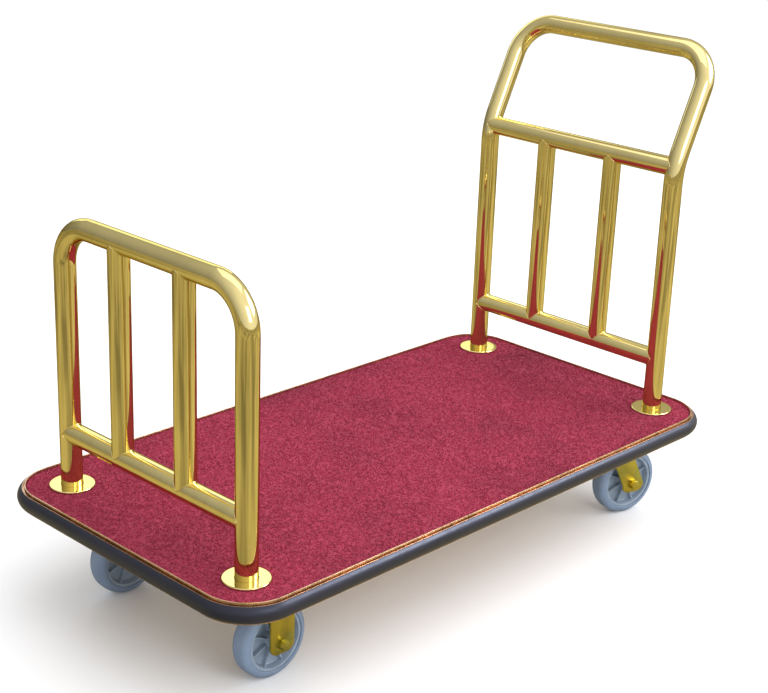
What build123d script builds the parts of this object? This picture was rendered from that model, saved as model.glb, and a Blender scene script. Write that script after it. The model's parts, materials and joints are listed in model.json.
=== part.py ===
"""Hotel luggage cart: carpeted deck, low front rail, high push handle, two rigid and two swivel casters.

Millimetres. The origin is on the floor under the middle of the cart, +X points to the push handle,
+Y to the right-hand side of the cart and +Z up. "Front" is the low-rail end, which travels first,
and "left" is the -Y side.
"""

from build123d import *
import os
from math import atan2, cos, radians, sin, sqrt, tan

# ---------------------------------------------------------------- driving sizes: deck
CARPET_LENGTH = 1188.0
CARPET_WIDTH = 610.0
CARPET_CORNER_R = 80.0
CARPET_T = 5.0
BOARD_T = 15.0
FRAME_H = 25.0
FRAME_T = 3.0
FRAME_INSET = 20.0
FRAME_LEDGE = 28.0
CHANNEL_WIDTH = 124.0

# ---------------------------------------------------------------- driving sizes: edge trim and bumper
TRIM_WEB_T = 2.0
TRIM_LIP_RISE = 2.5
TRIM_GROOVE = 3.0
TRIM_GROOVE_DEPTH = 5.5
TRIM_OUTER_LIP_T = 1.5
TRIM_FLANGE_T = 1.5
BUMPER_R = 17.0
BUMPER_REACH = 14.7
BUMPER_DROP = 16.0

# ---------------------------------------------------------------- driving sizes: rails
TUBE_OD = 37.2
HANDLE_OD = 35.8
COPE_STEP = 0.3
TUBE_WALL = 1.5
POST_SIDE_SETBACK = 80.5
PICKET_SPACING = 160.0
LOW_SETBACK = 77.0
HIGH_SETBACK = 71.0
LOW_RAIL_H = 463.0
LOW_CROSSBAR_H = 98.0
HANDLE_BEND_H = 480.0
HANDLE_CROSSBAR_H = 104.5
HANDLE_TOP_H = 682.0
HANDLE_REACH = 95.5
HOOP_BEND_R = 70.0
TILT_BEND_R = 150.0

# ---------------------------------------------------------------- driving sizes: post feet
FLANGE_OD = 77.5
FLANGE_T = 3.0
PLUG_H = 30.0
POST_BOLT_D = 10.0
POST_BOLT_REACH = 20.0
POST_BOLT_HEAD_AF = 17.0
POST_BOLT_HEAD_T = 6.5
POST_WASHER_D = 28.0
POST_WASHER_T = 2.0

# ---------------------------------------------------------------- driving sizes: casters
WHEEL_D = 134.0
TYRE_W = 38.0
TYRE_DEPTH = 13.5
SHOULDER_R = 9.0
RIM_T = 5.0
RIM_W = 34.0
WEB_T = 8.0
RIB_T = 4.0
RIB_W = 24.0
RIB_COUNT = 8
HUB_OD = 30.0
HUB_W = 56.0
FORK_INSIDE = 58.0
FORK_T = 4.0
LEG_W = 50.0
LEG_END_DROP = 16.5
LEG_CORNER_R = 15.0
AXLE_D = 12.0
AXLE_HEAD_AF = 16.0
AXLE_HEAD_T = 8.0
AXLE_NUT_T = 10.0
PLATE_L = 105.0
PLATE_W = 85.0
PLATE_T = 3.5
PLATE_CORNER_R = 8.0
PLATE_BOLT_X = 80.0
PLATE_BOLT_Y = 66.0
PLATE_BOLT_D = 8.0
PLATE_BOLT_AF = 13.0
PLATE_BOLT_HEAD_T = 5.0
SWIVEL_TRAIL = 44.0
SWIVEL_BOSS_D = 44.0
SWIVEL_BOSS_H = 7.0
SWIVEL_CUP_D = 58.0
SWIVEL_CUP_H = 5.0
KINGPIN_D = 12.0
KINGPIN_HEAD_AF = 19.0
KINGPIN_HEAD_T = 7.0
WHEEL_HEADROOM = 34.5
CASTER_SIDE_SETBACK = 117.0
FRONT_AXLE_SETBACK = 157.0
SWIVEL_SETBACK = 151.0
REST_ANGLE_LEFT = -14.0
REST_ANGLE_RIGHT = 7.0

# ---------------------------------------------------------------- clearances
RUNNING_GAP = 0.08
FACE_GAP = 0.4
POST_HOLE_GAP = 0.3
CARPET_HOLE_GAP = 0.6
BOLT_HOLE_GAP = 0.25

# ---------------------------------------------------------------- places that follow from the sizes
CASTER_HEIGHT = WHEEL_D + WHEEL_HEADROOM
CASTER_TRACK = CARPET_WIDTH - 2 * CASTER_SIDE_SETBACK
POST_SPACING = CARPET_WIDTH - 2 * POST_SIDE_SETBACK
FRAME_BOTTOM_Z = CASTER_HEIGHT
BOARD_BOTTOM_Z = FRAME_BOTTOM_Z + FRAME_H
BOARD_TOP_Z = BOARD_BOTTOM_Z + BOARD_T
CARPET_TOP_Z = BOARD_TOP_Z + CARPET_T
AXLE_Z = WHEEL_D / 2
BUMPER_NOSE = -CARPET_LENGTH / 2 - BUMPER_REACH
HANDLE_NOSE = CARPET_LENGTH / 2 - HIGH_SETBACK + HANDLE_REACH + HANDLE_OD / 2
DECK_X = -(BUMPER_NOSE + HANDLE_NOSE) / 2
LOW_X = DECK_X - CARPET_LENGTH / 2 + LOW_SETBACK
HIGH_X = DECK_X + CARPET_LENGTH / 2 - HIGH_SETBACK
FRONT_AXLE_X = DECK_X - CARPET_LENGTH / 2 + FRONT_AXLE_SETBACK
SWIVEL_X = DECK_X + CARPET_LENGTH / 2 - SWIVEL_SETBACK
HANDLE_TILT = atan2(HANDLE_REACH, HANDLE_TOP_H - HANDLE_BEND_H)
UPPER_BAR_X = HIGH_X + TILT_BEND_R * (1 - sqrt(1 - tan(HANDLE_TILT / 2) ** 2))
SIDES = {"left": -1, "right": 1}
POST_Y = {side: sign * POST_SPACING / 2 for side, sign in SIDES.items()}
PICKET_Y = {side: sign * PICKET_SPACING / 2 for side, sign in SIDES.items()}
CASTER_Y = {side: sign * CASTER_TRACK / 2 for side, sign in SIDES.items()}
REST_ANGLE = {"left": REST_ANGLE_LEFT, "right": REST_ANGLE_RIGHT}

os.makedirs("parts", exist_ok=True)


def save(part, name):
    """Label a finished piece and write it as its own STEP file."""
    part.label = name
    export_step(part, f"parts/{name}.step")


def deck_outline(inset):
    """A rounded rectangle at a distance inside the carpet's edge, drawn in the open sketch."""
    RectangleRounded(
        CARPET_LENGTH - 2 * inset, CARPET_WIDTH - 2 * inset, CARPET_CORNER_R - inset
    )


def deck_plane(z):
    """A level plane centred on the deck."""
    return Plane(origin=(DECK_X, 0, z))


def post_places():
    """The four post axes as (name, x, y, tube diameter)."""
    return [
        (f"{rail}_{side}", x, POST_Y[side], diameter)
        for rail, x, diameter in (("low", LOW_X, TUBE_OD), ("handle", HIGH_X, HANDLE_OD))
        for side in SIDES
    ]


def post_hole_locations():
    """The post axes as locations on the deck's own plane."""
    return Locations(*[(x - DECK_X, y) for _, x, y, _ in post_places()])


def mount_bolt_locations():
    """The four bolt places of a caster plate."""
    return GridLocations(PLATE_BOLT_X, PLATE_BOLT_Y, 2, 2)


# ---------------------------------------------------------------- deck
def make_deck():
    """Plywood board, carpet on it, and the steel frame below."""
    with BuildPart() as board:
        with BuildSketch(deck_plane(BOARD_BOTTOM_Z)):
            deck_outline(0)
            with post_hole_locations():
                Circle(POST_BOLT_D / 2 + BOLT_HOLE_GAP, mode=Mode.SUBTRACT)
        extrude(amount=BOARD_T)
    save(board.part, "deck_board")

    with BuildPart() as carpet:
        with BuildSketch(deck_plane(BOARD_TOP_Z)):
            deck_outline(0)
            for _, x, y, diameter in post_places():
                with Locations((x - DECK_X, y)):
                    Circle(diameter / 2 + CARPET_HOLE_GAP, mode=Mode.SUBTRACT)
        extrude(amount=CARPET_T)
    save(carpet.part, "carpet")

    with BuildPart() as frame_ring:
        with BuildSketch(deck_plane(FRAME_BOTTOM_Z)):
            deck_outline(FRAME_INSET)
            offset_inside = FRAME_INSET + FRAME_T
            RectangleRounded(
                CARPET_LENGTH - 2 * offset_inside,
                CARPET_WIDTH - 2 * offset_inside,
                CARPET_CORNER_R - offset_inside,
                mode=Mode.SUBTRACT,
            )
        extrude(amount=FRAME_H)
        with BuildSketch(deck_plane(BOARD_BOTTOM_Z)):
            deck_outline(FRAME_INSET)
            RectangleRounded(
                CARPET_LENGTH - 2 * (FRAME_INSET + FRAME_LEDGE),
                CARPET_WIDTH - 2 * (FRAME_INSET + FRAME_LEDGE),
                CARPET_CORNER_R - FRAME_INSET - FRAME_LEDGE,
                mode=Mode.SUBTRACT,
            )
        extrude(amount=-FRAME_T)
    save(frame_ring.part, "frame_ring")


def make_cross_channel(name, x):
    """A steel channel across the frame that carries two casters, open at the top."""
    span = CARPET_WIDTH - 2 * (FRAME_INSET + FRAME_T)
    height = FRAME_H - FRAME_T
    with BuildPart() as channel:
        with BuildSketch(Plane.XZ.offset(-span / 2)):
            with Locations((x, FRAME_BOTTOM_Z + height / 2)):
                Rectangle(CHANNEL_WIDTH, height)
            with Locations((x, FRAME_BOTTOM_Z + height / 2 + FRAME_T)):
                Rectangle(CHANNEL_WIDTH - 2 * FRAME_T, height, mode=Mode.SUBTRACT)
        extrude(amount=span)
        for y in CASTER_Y.values():
            with BuildSketch(Plane(origin=(x, y, FRAME_BOTTOM_Z))):
                with mount_bolt_locations():
                    Circle(PLATE_BOLT_D / 2 + BOLT_HOLE_GAP)
            extrude(amount=FRAME_T, mode=Mode.SUBTRACT)
    save(channel.part, name)


# ---------------------------------------------------------------- edge trim and bumper
def edge_path():
    """The carpet's edge as one closed wire, which the trim and the bumper follow."""
    with BuildSketch(deck_plane(CARPET_TOP_Z)) as outline:
        deck_outline(0)
    return outline.sketch.face().outer_wire()


def edge_section_plane():
    """Section plane at the middle of the left side: local X outward from the carpet, local Y up."""
    return Plane(origin=(DECK_X, -CARPET_WIDTH / 2, CARPET_TOP_Z), x_dir=(0, -1, 0), z_dir=(-1, 0, 0))


def make_edging():
    """Brass extrusion round the deck with a groove, and the D-shaped vinyl bumper that it holds."""
    groove_end = TRIM_WEB_T + TRIM_GROOVE
    lip_end = groove_end + TRIM_OUTER_LIP_T
    centre_out = BUMPER_REACH - BUMPER_R
    lip_top = -BUMPER_DROP + (BUMPER_R**2 - (lip_end - centre_out) ** 2) ** 0.5
    flange_top = -BUMPER_DROP - (BUMPER_R**2 - (groove_end - centre_out) ** 2) ** 0.5
    seat = -TRIM_GROOVE_DEPTH - TRIM_FLANGE_T
    path = edge_path()

    with BuildPart() as trim:
        with BuildSketch(edge_section_plane()):
            with BuildLine():
                Polyline(
                    (0, TRIM_LIP_RISE),
                    (TRIM_WEB_T, TRIM_LIP_RISE),
                    (TRIM_WEB_T, -TRIM_GROOVE_DEPTH),
                    (groove_end, -TRIM_GROOVE_DEPTH),
                    (groove_end, lip_top),
                    (lip_end, lip_top),
                    (lip_end, seat),
                    (TRIM_WEB_T, seat),
                    (TRIM_WEB_T, flange_top),
                    (groove_end, flange_top),
                    (groove_end, flange_top - TRIM_FLANGE_T),
                    (0, flange_top - TRIM_FLANGE_T),
                    close=True,
                )
            make_face()
        sweep(path=path)
    save(trim.part, "edge_trim")

    with BuildPart() as bumper:
        with BuildSketch(edge_section_plane()):
            with BuildLine():
                Polyline(
                    (lip_end, lip_top), (lip_end, seat), (TRIM_WEB_T, seat),
                    (TRIM_WEB_T, flange_top), (groove_end, flange_top),
                )
                ThreePointArc(
                    (groove_end, flange_top), (BUMPER_REACH, -BUMPER_DROP), (lip_end, lip_top)
                )
            make_face()
        sweep(path=path)
    save(bumper.part, "bumper")


# ---------------------------------------------------------------- rails
def low_rail_path():
    """Centreline of the low rail's hoop, from the left foot up and over to the right foot."""
    top = CARPET_TOP_Z + LOW_RAIL_H
    return FilletPolyline(
        (LOW_X, POST_Y["left"], BOARD_TOP_Z),
        (LOW_X, POST_Y["left"], top),
        (LOW_X, POST_Y["right"], top),
        (LOW_X, POST_Y["right"], BOARD_TOP_Z),
        radius=HOOP_BEND_R,
    )


def handle_path():
    """Centreline of the push handle's hoop, which tilts outward above its upper crossbar."""
    bend = CARPET_TOP_Z + HANDLE_BEND_H
    top = CARPET_TOP_Z + HANDLE_TOP_H
    grip_x = HIGH_X + HANDLE_REACH
    return FilletPolyline(
        (HIGH_X, POST_Y["left"], BOARD_TOP_Z),
        (HIGH_X, POST_Y["left"], bend),
        (grip_x, POST_Y["left"], top),
        (grip_x, POST_Y["right"], top),
        (HIGH_X, POST_Y["right"], bend),
        (HIGH_X, POST_Y["right"], BOARD_TOP_Z),
        radius=[TILT_BEND_R, HOOP_BEND_R, HOOP_BEND_R, TILT_BEND_R],
    )


def make_hoop(name, path_maker, diameter):
    """A bent tube from foot to foot."""
    with BuildPart() as hoop:
        with BuildLine():
            path = path_maker()
        with BuildSketch(Plane(origin=path @ 0, z_dir=path % 0)):
            Circle(diameter / 2)
            Circle(diameter / 2 - TUBE_WALL, mode=Mode.SUBTRACT)
        sweep(path=path)
    save(hoop.part, name)


def hoop_envelope(path_maker, diameter):
    """The hoop as a full rod, for coping the ends of what is welded to it."""
    with BuildPart() as rod:
        with BuildLine():
            path = path_maker()
        with BuildSketch(Plane(origin=path @ 0, z_dir=path % 0)):
            Circle(diameter / 2)
        sweep(path=path)
    return rod.part


def make_crossbar(name, x, height, hoop, diameter):
    """A level tube between the posts, its ends coped to the hoop."""
    with BuildPart() as bar:
        with BuildSketch(Plane(origin=(x, POST_Y["left"], CARPET_TOP_Z + height), z_dir=(0, 1, 0))):
            Circle(diameter / 2)
            Circle(diameter / 2 - TUBE_WALL, mode=Mode.SUBTRACT)
        extrude(amount=POST_SPACING)
        add(hoop, mode=Mode.SUBTRACT)
        span = bar.part.solids().sort_by(lambda piece: piece.volume)[-1]
        add(span, mode=Mode.REPLACE)
    save(bar.part, name)


def make_picket(name, y, low_bar, high_bar):
    """An upright tube coped to two level tubes, each given as (x, height, diameter)."""
    diameter = min(low_bar[2], high_bar[2]) - COPE_STEP
    foot, head = (Vector(x, y, CARPET_TOP_Z + height) for x, height, _ in (low_bar, high_bar))
    with BuildPart() as picket:
        with BuildSketch(Plane(origin=foot, z_dir=head - foot)):
            Circle(diameter / 2)
            Circle(diameter / 2 - TUBE_WALL, mode=Mode.SUBTRACT)
        extrude(amount=(head - foot).length)
        for end, bar_diameter in ((foot, low_bar[2]), (head, high_bar[2])):
            with BuildSketch(Plane(origin=end, z_dir=(0, 1, 0))):
                Circle(bar_diameter / 2)
            extrude(amount=diameter, both=True, mode=Mode.SUBTRACT)
    save(picket.part, name)


def make_rails():
    """Both rails: hoop, crossbars and pickets. Each coped tube is a step thinner than its seat."""
    low_bar = TUBE_OD - COPE_STEP
    handle_bar = HANDLE_OD - COPE_STEP
    make_hoop("low_rail_hoop", low_rail_path, TUBE_OD)
    make_hoop("handle_hoop", handle_path, HANDLE_OD)
    low_rod = hoop_envelope(low_rail_path, TUBE_OD)
    handle_rod = hoop_envelope(handle_path, HANDLE_OD)
    make_crossbar("low_rail_crossbar", LOW_X, LOW_CROSSBAR_H, low_rod, low_bar)
    make_crossbar("handle_lower_crossbar", HIGH_X, HANDLE_CROSSBAR_H, handle_rod, handle_bar)
    make_crossbar("handle_upper_crossbar", UPPER_BAR_X, HANDLE_BEND_H, handle_rod, handle_bar)
    for side, y in PICKET_Y.items():
        make_picket(
            f"low_rail_picket_{side}", y,
            (LOW_X, LOW_CROSSBAR_H, low_bar), (LOW_X, LOW_RAIL_H, TUBE_OD),
        )
        make_picket(
            f"handle_picket_{side}", y,
            (HIGH_X, HANDLE_CROSSBAR_H, handle_bar), (UPPER_BAR_X, HANDLE_BEND_H, handle_bar),
        )


# ---------------------------------------------------------------- post feet
def make_post_foot(name, x, y, diameter):
    """Cover flange on the carpet, threaded plug in the tube and the bolt from below the board."""
    with BuildPart() as flange:
        with BuildSketch(Plane(origin=(x, y, CARPET_TOP_Z))):
            Circle(FLANGE_OD / 2)
            Circle(diameter / 2 + POST_HOLE_GAP, mode=Mode.SUBTRACT)
        extrude(amount=FLANGE_T)
        rim = flange.edges().filter_by(GeomType.CIRCLE).group_by(Axis.Z)[-1].sort_by(SortBy.LENGTH)[-1]
        fillet(rim, radius=FLANGE_T / 2)
    save(flange.part, f"post_flange_{name}")

    with BuildPart() as plug:
        with BuildSketch(Plane(origin=(x, y, BOARD_TOP_Z))):
            Circle(diameter / 2 - TUBE_WALL)
            Circle(POST_BOLT_D / 2, mode=Mode.SUBTRACT)
        extrude(amount=PLUG_H)
    save(plug.part, f"post_plug_{name}")

    with BuildPart() as bolt:
        with BuildSketch(Plane(origin=(x, y, BOARD_BOTTOM_Z))):
            Circle(POST_BOLT_D / 2)
        extrude(amount=BOARD_T + POST_BOLT_REACH)
        with BuildSketch(Plane(origin=(x, y, BOARD_BOTTOM_Z))):
            Circle(POST_WASHER_D / 2)
        extrude(amount=-POST_WASHER_T)
        with BuildSketch(Plane(origin=(x, y, BOARD_BOTTOM_Z - POST_WASHER_T))):
            RegularPolygon(POST_BOLT_HEAD_AF / 2, 6, major_radius=False)
        extrude(amount=-POST_BOLT_HEAD_T)
    save(bolt.part, f"post_bolt_{name}")


# ---------------------------------------------------------------- casters
def caster_plane(x, y, angle):
    """Floor plane of a caster: origin under its plate, local X trailing at the angle in degrees."""
    turn = radians(angle)
    return Plane(origin=(x, y, 0), x_dir=(cos(turn), sin(turn), 0), z_dir=(0, 0, 1))


def upright_plane(base, across):
    """Upright plane of a caster at a distance across it: local X trails and local Y is up."""
    return Plane(origin=base.origin + base.y_dir * across, x_dir=base.x_dir, z_dir=-base.y_dir)


def mount_plane(base, z):
    """Level plane of a caster at a height."""
    return Plane(origin=base.origin + Vector(0, 0, z), x_dir=base.x_dir, z_dir=(0, 0, 1))


def plate_sketch():
    """Outline of a mounting plate with its four bolt holes, drawn in the open sketch."""
    RectangleRounded(PLATE_L, PLATE_W, PLATE_CORNER_R)
    with mount_bolt_locations():
        Circle(PLATE_BOLT_D / 2 + BOLT_HOLE_GAP, mode=Mode.SUBTRACT)


def fork_legs(base, trail, top):
    """Two pressed legs from a level down past the axle, leaning back when the caster trails."""
    with BuildPart() as legs:
        for inner_face in (-FORK_INSIDE / 2, FORK_INSIDE / 2 + FORK_T):
            with BuildSketch(upright_plane(base, inner_face)):
                with BuildLine():
                    Polyline(
                        (-LEG_W / 2, top),
                        (trail - LEG_W / 2, AXLE_Z),
                        (trail - LEG_W / 2, AXLE_Z - LEG_END_DROP),
                        (trail + LEG_W / 2, AXLE_Z - LEG_END_DROP),
                        (trail + LEG_W / 2, AXLE_Z),
                        (LEG_W / 2, top),
                        close=True,
                    )
                outline = make_face()
                fillet(outline.vertices().group_by(Axis.Y)[0], radius=LEG_CORNER_R)
                with Locations((trail, AXLE_Z)):
                    Circle(AXLE_D / 2 + BOLT_HOLE_GAP, mode=Mode.SUBTRACT)
            extrude(amount=FORK_T)
    return legs.part


def make_axle(prefix, base, trail, outer):
    """Axle bolt with its head on the outer side, and the lock nut on the inner side."""
    face = FORK_INSIDE / 2 + FORK_T
    with BuildPart() as bolt:
        with BuildSketch(upright_plane(base, outer * face)):
            with Locations((trail, AXLE_Z)):
                RegularPolygon(AXLE_HEAD_AF / 2, 6, major_radius=False)
        extrude(amount=-outer * AXLE_HEAD_T)
        with BuildSketch(upright_plane(base, outer * face)):
            with Locations((trail, AXLE_Z)):
                Circle(AXLE_D / 2)
        extrude(amount=outer * (2 * face + AXLE_NUT_T))
    save(bolt.part, f"{prefix}_axle_bolt")

    with BuildPart() as nut:
        with BuildSketch(upright_plane(base, -outer * face)):
            with Locations((trail, AXLE_Z)):
                RegularPolygon(AXLE_HEAD_AF / 2, 6, major_radius=False)
                Circle(AXLE_D / 2, mode=Mode.SUBTRACT)
        extrude(amount=outer * AXLE_NUT_T)
    save(nut.part, f"{prefix}_axle_nut")


def make_wheel(prefix, base, trail):
    """Ribbed wheel core on the axle, and the tyre round it."""
    centre = base.origin + base.x_dir * trail + Vector(0, 0, AXLE_Z)
    profile_plane = Plane(origin=centre, x_dir=base.y_dir, z_dir=base.x_dir)
    axle = Axis(centre, base.y_dir)
    tyre_bore = WHEEL_D / 2 - TYRE_DEPTH
    rim_bore = tyre_bore - RIM_T
    hub_r = HUB_OD / 2

    with BuildPart() as core:
        with BuildSketch(profile_plane):
            with Locations((0, (tyre_bore + rim_bore) / 2)):
                Rectangle(RIM_W, RIM_T)
            with Locations((0, tyre_bore / 2)):
                Rectangle(WEB_T, tyre_bore)
            with Locations((0, hub_r / 2)):
                Rectangle(HUB_W, hub_r)
            with Locations((0, (AXLE_D / 2 + RUNNING_GAP) / 2)):
                Rectangle(HUB_W, AXLE_D / 2 + RUNNING_GAP, mode=Mode.SUBTRACT)
        revolve(axis=axle)
        rib_length = rim_bore - hub_r + 2 * RIB_T
        with BuildSketch(Plane(origin=centre, x_dir=base.x_dir, z_dir=-base.y_dir)):
            with PolarLocations((rim_bore + hub_r) / 2, RIB_COUNT, start_angle=180 / RIB_COUNT):
                Rectangle(rib_length, RIB_T)
            Circle(hub_r - 1, mode=Mode.SUBTRACT)
        extrude(amount=RIB_W / 2, both=True)
    save(core.part, f"{prefix}_wheel_core")

    with BuildPart() as tyre:
        with BuildSketch(profile_plane):
            with Locations((0, (tyre_bore + WHEEL_D / 2) / 2)):
                tread = Rectangle(TYRE_W, TYRE_DEPTH)
            shoulders = tread.vertices().group_by(Axis.Y)[-1]
            fillet(shoulders, radius=min(SHOULDER_R, TYRE_DEPTH * 0.9, TYRE_W * 0.45))
        revolve(axis=axle)
    save(tyre.part, f"{prefix}_tyre")


def make_plate_bolts(name, base, bottom):
    """The four bolts and nuts that hold one caster to its cross channel."""
    with BuildPart() as bolts:
        with BuildSketch(mount_plane(base, bottom)):
            with mount_bolt_locations():
                Circle(PLATE_BOLT_D / 2)
        extrude(amount=PLATE_T + FRAME_T + PLATE_BOLT_HEAD_T)
        with BuildSketch(mount_plane(base, bottom)):
            with mount_bolt_locations():
                RegularPolygon(PLATE_BOLT_AF / 2, 6, major_radius=False)
        extrude(amount=-PLATE_BOLT_HEAD_T)
        with BuildSketch(mount_plane(base, FRAME_BOTTOM_Z + FRAME_T)):
            with mount_bolt_locations():
                RegularPolygon(PLATE_BOLT_AF / 2, 6, major_radius=False)
        extrude(amount=PLATE_BOLT_HEAD_T)
    save(bolts.part, name)


def make_rigid_caster(side):
    """Fixed caster at the front: plate and legs in one pressing, axle and wheel."""
    base = caster_plane(FRONT_AXLE_X, CASTER_Y[side], 0)
    plate_bottom = FRAME_BOTTOM_Z - PLATE_T
    prefix = f"front_{side}"
    legs = fork_legs(base, 0, plate_bottom)
    with BuildPart() as fork:
        with BuildSketch(mount_plane(base, plate_bottom)):
            plate_sketch()
        extrude(amount=PLATE_T)
        add(legs)
    save(fork.part, f"{prefix}_fork")
    make_axle(prefix, base, 0, SIDES[side])
    make_wheel(prefix, base, 0)
    make_plate_bolts(f"{prefix}_plate_bolts", base, plate_bottom)


def make_swivel_caster(side):
    """Swivel caster at the handle end: plate, kingpin, trailing fork, axle and wheel."""
    square = caster_plane(SWIVEL_X, CASTER_Y[side], 0)
    base = caster_plane(SWIVEL_X, CASTER_Y[side], REST_ANGLE[side])
    plate_bottom = FRAME_BOTTOM_Z - PLATE_T
    boss_bottom = plate_bottom - SWIVEL_BOSS_H
    crown_top = boss_bottom - FACE_GAP
    crown_bottom = crown_top - FORK_T
    prefix = f"rear_{side}"

    with BuildPart() as plate:
        with BuildSketch(mount_plane(square, plate_bottom)):
            plate_sketch()
        extrude(amount=PLATE_T)
        with BuildSketch(mount_plane(square, plate_bottom)):
            Circle(SWIVEL_BOSS_D / 2)
        extrude(amount=-SWIVEL_BOSS_H)
        with BuildSketch(mount_plane(square, FRAME_BOTTOM_Z)):
            Circle(KINGPIN_D / 2)
        extrude(amount=-(PLATE_T + SWIVEL_BOSS_H), mode=Mode.SUBTRACT)
    save(plate.part, f"{prefix}_caster_plate")

    with BuildPart() as kingpin:
        with BuildSketch(mount_plane(square, FRAME_BOTTOM_Z)):
            Circle(KINGPIN_D / 2)
        extrude(amount=-(FRAME_BOTTOM_Z - crown_bottom + FACE_GAP))
        with BuildSketch(mount_plane(square, crown_bottom - FACE_GAP)):
            RegularPolygon(KINGPIN_HEAD_AF / 2, 6, major_radius=False)
        extrude(amount=-KINGPIN_HEAD_T)
    save(kingpin.part, f"{prefix}_kingpin")

    legs = fork_legs(base, SWIVEL_TRAIL, crown_top)
    with BuildPart() as fork:
        with BuildSketch(mount_plane(base, crown_bottom)):
            Rectangle(LEG_W, FORK_INSIDE + 2 * FORK_T)
            Circle(SWIVEL_CUP_D / 2)
        extrude(amount=FORK_T)
        with BuildSketch(mount_plane(base, crown_top)):
            Circle(SWIVEL_CUP_D / 2)
            Circle(SWIVEL_BOSS_D / 2 + FACE_GAP, mode=Mode.SUBTRACT)
        extrude(amount=SWIVEL_CUP_H)
        add(legs)
        with BuildSketch(mount_plane(base, crown_top)):
            Circle(KINGPIN_D / 2 + RUNNING_GAP)
        extrude(amount=-FORK_T, mode=Mode.SUBTRACT)
    save(fork.part, f"{prefix}_fork")

    make_axle(prefix, base, SWIVEL_TRAIL, SIDES[side])
    make_wheel(prefix, base, SWIVEL_TRAIL)
    make_plate_bolts(f"{prefix}_plate_bolts", square, plate_bottom)


make_deck()
make_cross_channel("cross_channel_front", FRONT_AXLE_X)
make_cross_channel("cross_channel_rear", SWIVEL_X)
make_edging()
make_rails()
for post_name, post_x, post_y, post_diameter in post_places():
    make_post_foot(post_name, post_x, post_y, post_diameter)
for caster_side in SIDES:
    make_rigid_caster(caster_side)
    make_swivel_caster(caster_side)
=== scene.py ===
"""Hotel luggage cart, dressed on the CAD frame: rails, carpeted deck, bumper and casters."""

import json
from math import atan2, cos, pi, radians, sin, sqrt, tan

import bmesh
import bpy
import numpy as np
from bpy.props import FloatProperty, FloatVectorProperty, IntProperty, PointerProperty
from mathutils import Matrix, Quaternion, Vector

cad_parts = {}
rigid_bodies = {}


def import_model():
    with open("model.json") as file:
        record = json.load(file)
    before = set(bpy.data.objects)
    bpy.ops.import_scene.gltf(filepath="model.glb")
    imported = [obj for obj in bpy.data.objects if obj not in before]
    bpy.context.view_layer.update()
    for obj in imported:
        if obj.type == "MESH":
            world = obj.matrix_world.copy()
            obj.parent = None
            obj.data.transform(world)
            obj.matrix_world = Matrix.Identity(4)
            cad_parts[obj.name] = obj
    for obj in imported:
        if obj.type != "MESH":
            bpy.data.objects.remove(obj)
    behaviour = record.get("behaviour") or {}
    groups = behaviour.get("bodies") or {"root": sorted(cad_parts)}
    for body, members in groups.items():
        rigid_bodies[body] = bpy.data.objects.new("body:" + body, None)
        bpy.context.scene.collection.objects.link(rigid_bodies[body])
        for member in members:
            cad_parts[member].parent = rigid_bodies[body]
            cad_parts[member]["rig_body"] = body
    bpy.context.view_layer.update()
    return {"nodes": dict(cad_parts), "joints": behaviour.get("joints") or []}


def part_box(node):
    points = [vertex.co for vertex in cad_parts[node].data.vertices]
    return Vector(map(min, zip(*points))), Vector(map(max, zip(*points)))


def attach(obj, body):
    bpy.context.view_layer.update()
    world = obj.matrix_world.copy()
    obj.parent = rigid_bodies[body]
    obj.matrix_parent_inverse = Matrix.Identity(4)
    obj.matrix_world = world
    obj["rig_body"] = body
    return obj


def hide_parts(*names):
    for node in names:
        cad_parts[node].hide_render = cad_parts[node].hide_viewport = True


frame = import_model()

bl_info = {
    "name": "Hotel luggage cart",
    "version": (1, 0, 0),
    "blender": (4, 5, 0),
    "location": "View3D > Sidebar > Luggage cart",
    "description": "Dresses the luggage cart's frame: rails, deck, edging, casters and studio",
    "category": "Object",
}

CART = "cart"
SIDES = ("left", "right")
CASTERS = [f"{end}_{side}" for end in ("front", "rear") for side in SIDES]

BEND_CLEAR = 0.003  # straight run kept between a bend and the route's next point
SMALL_TUBE = 0.005  # a tube or bead with a smaller radius gets few facets
BEAD_FACETS = 10
FLAT_ANGLE = 0.6  # degrees: faces of a CAD mesh that are flatter than this are joined
EASED_ANGLE = 35  # degrees: edges of a CAD mesh that are sharper than this are eased
POST_GAP = 0.0003  # between a post and its foot disc
PILE_GAP = 0.0006  # between a post and the cut edge of the carpet


# ---------------------------------------------------------------- places that the CAD frame gives
def middle(node):
    """Middle of a CAD node's box."""
    low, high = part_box(node)
    return (Vector(low) + Vector(high)) / 2


def size(node):
    """Size of a CAD node's box."""
    low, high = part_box(node)
    return Vector(high) - Vector(low)


def joint_of(body):
    """The joint that carries a body."""
    return next(j for j in frame["joints"] if j["child"] == body)


# ---------------------------------------------------------------- mesh helpers
def plain_mesh(name, points, faces=(), edges=()):
    """A mesh from points and faces or edges."""
    mesh = bpy.data.meshes.new(name)
    mesh.from_pydata(*([tuple(row) for row in rows] for rows in (points, edges, faces)))
    mesh.update()
    return mesh


def tidied(mesh, sharp=32.0, merge=1e-6):
    """Merges doubles, points the faces outward and marks the sharp edges."""
    shape = bmesh.new()
    shape.from_mesh(mesh)
    bmesh.ops.remove_doubles(shape, verts=shape.verts, dist=merge)
    bmesh.ops.dissolve_degenerate(shape, dist=merge, edges=shape.edges)
    bmesh.ops.recalc_face_normals(shape, faces=shape.faces)
    for face in shape.faces:
        face.smooth = True
    shape.to_mesh(mesh)
    shape.free()
    mesh.set_sharp_from_angle(angle=radians(sharp))
    return mesh


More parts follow.
